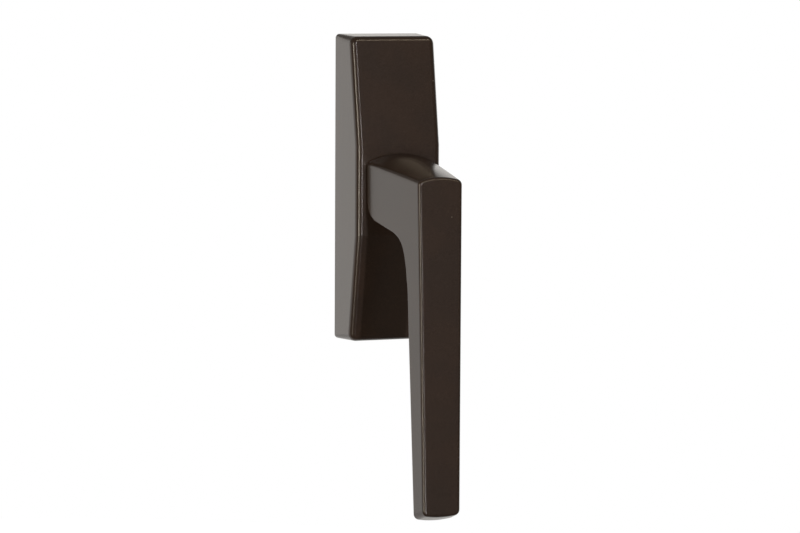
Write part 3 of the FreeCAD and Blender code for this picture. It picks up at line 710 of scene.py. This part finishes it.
@dataclass(frozen=True)
class ThreadedFixings:
    """The two fixing screws with their real threads instead of plain ends.

    A vertex further back than free_end belongs to the thread of its screw.
    """

    node: str = "fixing_screws"
    name: str = "fixing_screws_threaded"
    plain_radius: float = 0.0025
    free_end: float = 0.0002
    weld_distance: float = 1e-7
    rule: ThreadRule = field(default_factory=ThreadRule)

    def core(self, half_spacing: float) -> bpy.types.Mesh:
        """Copy the CAD screws and thin their free ends to the thread's root.

        Args:
            half_spacing: half the distance between the two screws.

        Returns:
            The core's mesh.
        """
        mesh = frame["nodes"][self.node].data.copy()
        shape = bmesh.new()
        shape.from_mesh(mesh)
        bmesh.ops.remove_doubles(shape, verts=shape.verts, dist=self.weld_distance)
        shrink = self.rule.root_radius / self.plain_radius
        for vertex in shape.verts:
            if vertex.co.y > self.free_end:
                axis_z = math.copysign(half_spacing, vertex.co.z)
                vertex.co.x *= shrink
                vertex.co.z = axis_z + (vertex.co.z - axis_z) * shrink
        bmesh.ops.recalc_face_normals(shape, faces=shape.faces)
        shape.to_mesh(mesh)
        shape.free()
        return mesh

    def build(self, body: Body) -> bpy.types.Object:
        """Make the threaded screws in place of the plain ones.

        Args:
            body: the body that the screws ride on.

        Returns:
            The screws' object.
        """
        half_spacing = mount("fixing_screws")["dims"]["pcd_mm"] * MM / 2.0
        values = self.rule.inputs(half_spacing, SHELF.get(Slot.PLATED_STEEL))
        piece = self.rule.grow(self.core(half_spacing), self.name, values)
        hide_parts(self.node)
        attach(piece, body.value)
        LOG.info("piece %s replaces %s", self.name, self.node)
        return piece


# ------------------------------------------------------------------ sub-assemblies
@dataclass
class Assembly:
    """The nodes of one body and the finish of each."""

    body: Body
    slots: dict[str, Slot]

    def build(self) -> None:
        """Make the pieces that take the place of plain CAD nodes, if there are any."""

    def dress(self) -> None:
        """Give every node its material."""
        for node, slot in self.slots.items():
            paint(node, slot)


@dataclass
class BaseAssembly(Assembly):
    """Everything that stays on the sash: cover, case, plate, seal and fasteners."""

    body: Body = Body.BASE
    slots: dict[str, Slot] = field(default_factory=lambda: {
        "cover": Slot.BRONZE_COAT,
        "gear_case": Slot.DIE_CAST_ZINC,
        "back_plate": Slot.PLATED_STEEL,
        "back_plate_screws": Slot.PLATED_STEEL,
        "back_gasket": Slot.FOAM_SEAL,
        "neck_bush": Slot.BLACK_NYLON,
        "pinion_bearing": Slot.BLACK_NYLON,
        "cover_clips": Slot.SPRING_STEEL,
        "fixing_screws": Slot.PLATED_STEEL,
        "fixing_screw_washers": Slot.PLATED_STEEL,
        "glide_strip": Slot.NATURAL_NYLON,
        "detent_springs": Slot.SPRING_STEEL,
    })
    fixings: ThreadedFixings = field(default_factory=ThreadedFixings)

    def build(self) -> None:
        """Make the threaded fixing screws."""
        self.fixings.build(self.body)


@dataclass
class LeverAssembly(Assembly):
    """Everything that turns with the lever."""

    body: Body = Body.LEVER
    slots: dict[str, Slot] = field(default_factory=lambda: {
        "lever": Slot.BRONZE_COAT,
        "spindle": Slot.PLATED_STEEL,
        "grub_screw": Slot.BLACK_STEEL,
        "pinion": Slot.GEAR_STEEL,
        "detent_ring": Slot.GEAR_STEEL,
        "thrust_washer": Slot.PLATED_STEEL,
        "wave_washer": Slot.SPRING_STEEL,
        "retaining_ring": Slot.SPRING_STEEL,
    })


@dataclass
class RackAssembly(Assembly):
    """Everything that slides with the rack."""

    body: Body = Body.RACK
    slots: dict[str, Slot] = field(default_factory=lambda: {
        "rack_slide": Slot.DIE_CAST_ZINC,
        "drive_pins": Slot.GEAR_STEEL,
        "glide_shoe": Slot.NATURAL_NYLON,
    })


# ------------------------------------------------------------------ studio
@dataclass(frozen=True)
class StudioLight:
    """One rectangular soft light that faces a point of the handle."""

    name: str
    place: tuple[float, float, float]
    width: float
    height: float
    power: float
    colour: Colour = (1.0, 1.0, 1.0)
    aim: tuple[float, float, float] = (0.0, -0.04, -0.03)

    def build(self) -> bpy.types.Object:
        """Make the light.

        Returns:
            The light's object.
        """
        data = bpy.data.lights.new(self.name, "AREA")
        data.shape = "RECTANGLE"
        data.size = self.width
        data.size_y = self.height
        data.energy = self.power
        data.color = self.colour
        lamp = bpy.data.objects.new(self.name, data)
        lamp.location = self.place
        away = Vector(self.place) - Vector(self.aim)
        lamp.rotation_euler = away.to_track_quat("Z", "Y").to_euler()
        bpy.context.scene.collection.objects.link(lamp)
        return lamp


@dataclass
class Studio:
    """White backdrop, pale floor, narrow soft lights and the camera."""

    azimuth_degrees: float = -20.54
    elevation_degrees: float = 5.77
    distance: float = 1.3224
    target: tuple[float, float, float] = (0.0, -0.030, -0.030)
    roll_degrees: float = 0.317
    lens: float = 145.52
    sensor: float = 36.0
    shift_x: float = -0.0023
    shift_y: float = -0.0029
    clip_start: float = 0.05
    clip_end: float = 20.0
    floor_height: float = -0.42
    floor_radius: float = 0.8
    floor_behind: float = 0.78
    floor_reflection: float = 0.55
    floor_sides: int = 96
    floor_grey: float = 0.9
    floor_roughness: float = 0.9
    room_shade: float = 0.10
    upper_glow: float = 0.10
    behind_range: tuple[float, float] = (0.0, 0.35)
    low_range: tuple[float, float] = (0.36, 0.26)
    backdrop_shade: float = 1.09
    backdrop_colour: Colour = (1.0, 0.965, 0.92)
    lights: tuple[StudioLight, ...] = (
        StudioLight("left_front_strip", (-1.35, -1.12, 0.1), 0.05, 1.6, 18.0, (1.0, 0.90, 0.74)),
        StudioLight("front_strip", (0.14, -1.75, 0.1), 0.03, 1.6, 10.0, (1.0, 0.93, 0.92)),
        StudioLight("high_front_strip", (0.56, -1.04, 1.06), 1.2, 0.05, 4.5, (1.0, 0.84, 0.62)),
    )

    def camera(self) -> bpy.types.Object:
        """Make the camera and set it as the scene's.

        Returns:
            The camera's object.
        """
        data = bpy.data.cameras.new("camera")
        data.lens = self.lens
        data.sensor_width = self.sensor
        data.sensor_fit = "HORIZONTAL"
        data.shift_x = self.shift_x
        data.shift_y = self.shift_y
        data.clip_start = self.clip_start
        data.clip_end = self.clip_end
        view = bpy.data.objects.new("camera", data)
        azimuth = math.radians(self.azimuth_degrees)
        elevation = math.radians(self.elevation_degrees)
        back = Vector((
            math.sin(azimuth) * math.cos(elevation),
            -math.cos(azimuth) * math.cos(elevation),
            math.sin(elevation),
        ))
        view.location = Vector(self.target) + back * self.distance
        upright = back.to_track_quat("Z", "Y").to_matrix()
        roll = Matrix.Rotation(math.radians(self.roll_degrees), 3, "Z")
        view.rotation_euler = (upright @ roll).to_euler()
        bpy.context.scene.collection.objects.link(view)
        bpy.context.scene.camera = view
        return view

    def world(self) -> None:
        """Make the world: white low behind the handle, dim elsewhere, plain white to the lens itself."""
        world = bpy.data.worlds.new("studio")
        world.use_nodes = True
        bpy.context.scene.world = world
        tree = world.node_tree
        tree.nodes.clear()
        place = tree.nodes.new("ShaderNodeTexCoord")
        split = tree.nodes.new("ShaderNodeSeparateXYZ")
        tree.links.new(place.outputs["Generated"], split.inputs["Vector"])
        behind = ShaderGroups.ramp(tree, split.outputs["Y"], *self.behind_range)
        low = ShaderGroups.ramp(tree, split.outputs["Z"], *self.low_range)
        mask = ShaderGroups.math(tree, "MULTIPLY", behind, low)
        span = tree.nodes.new("ShaderNodeMapRange")
        glow = ShaderGroups.math(tree, "MULTIPLY", behind, self.upper_glow)
        tree.links.new(ShaderGroups.math(tree, "ADD", glow, self.room_shade), span.inputs["To Min"])
        span.inputs["To Max"].default_value = self.backdrop_shade
        tree.links.new(mask, span.inputs["Value"])
        room = tree.nodes.new("ShaderNodeBackground")
        tree.links.new(span.outputs["Result"], room.inputs["Strength"])
        white = tree.nodes.new("ShaderNodeBackground")
        white.inputs["Color"].default_value = (1.0, 1.0, 1.0, 1.0)
        white.inputs["Strength"].default_value = 1.0
        room.inputs["Color"].default_value = (*self.backdrop_colour, 1.0)
        rays = tree.nodes.new("ShaderNodeLightPath")
        blend = tree.nodes.new("ShaderNodeMixShader")
        tree.links.new(rays.outputs["Is Camera Ray"], blend.inputs["Fac"])
        tree.links.new(room.outputs["Background"], blend.inputs[1])
        tree.links.new(white.outputs["Background"], blend.inputs[2])
        out = tree.nodes.new("ShaderNodeOutputWorld")
        tree.links.new(blend.outputs["Shader"], out.inputs["Surface"])

    def floor(self) -> bpy.types.Object:
        """Make the pale floor below the handle.

        Returns:
            The floor's object.
        """
        corners = []
        for step in range(self.floor_sides):
            angle = 2 * math.pi * step / self.floor_sides
            corners.append((
                self.floor_radius * math.cos(angle),
                self.floor_behind + self.floor_radius * math.sin(angle),
                self.floor_height,
            ))
        mesh = bpy.data.meshes.new("floor")
        mesh.from_pydata(corners, [], [tuple(range(self.floor_sides))])
        floor = bpy.data.objects.new("floor", mesh)
        bpy.context.scene.collection.objects.link(floor)
        material = bpy.data.materials.new("pale_floor")
        material.use_nodes = True
        shader = material.node_tree.nodes["Principled BSDF"]
        grey = self.floor_grey
        shader.inputs["Base Color"].default_value = (grey, grey, grey, 1.0)
        shader.inputs["Roughness"].default_value = self.floor_roughness
        rays = material.node_tree.nodes.new("ShaderNodeLightPath")
        shader.inputs["Emission Color"].default_value = (1.0, 1.0, 1.0, 1.0)
        mirrored = ShaderGroups.math(material.node_tree, "MULTIPLY", rays.outputs["Is Glossy Ray"],
                                     self.floor_reflection)
        seen = ShaderGroups.math(material.node_tree, "MAXIMUM", rays.outputs["Is Camera Ray"], mirrored)
        material.node_tree.links.new(seen, shader.inputs["Emission Strength"])
        mesh.materials.append(material)
        return floor

    def build(self) -> None:
        """Make the whole studio."""
        bpy.context.scene.view_settings.view_transform = "Standard"
        bpy.context.scene.view_settings.look = "None"
        self.world()
        self.floor()
        for light in self.lights:
            light.build()
        self.camera()


def main() -> None:
    """Build and dress every sub-assembly, then the studio."""
    logging.basicConfig(level=logging.INFO, format="%(name)s: %(message)s")
    for assembly in (BaseAssembly(), LeverAssembly(), RackAssembly()):
        assembly.build()
        assembly.dress()
        LOG.info("body %s is dressed", assembly.body.value)
    Studio().build()


if __name__ == "__main__":
    main()
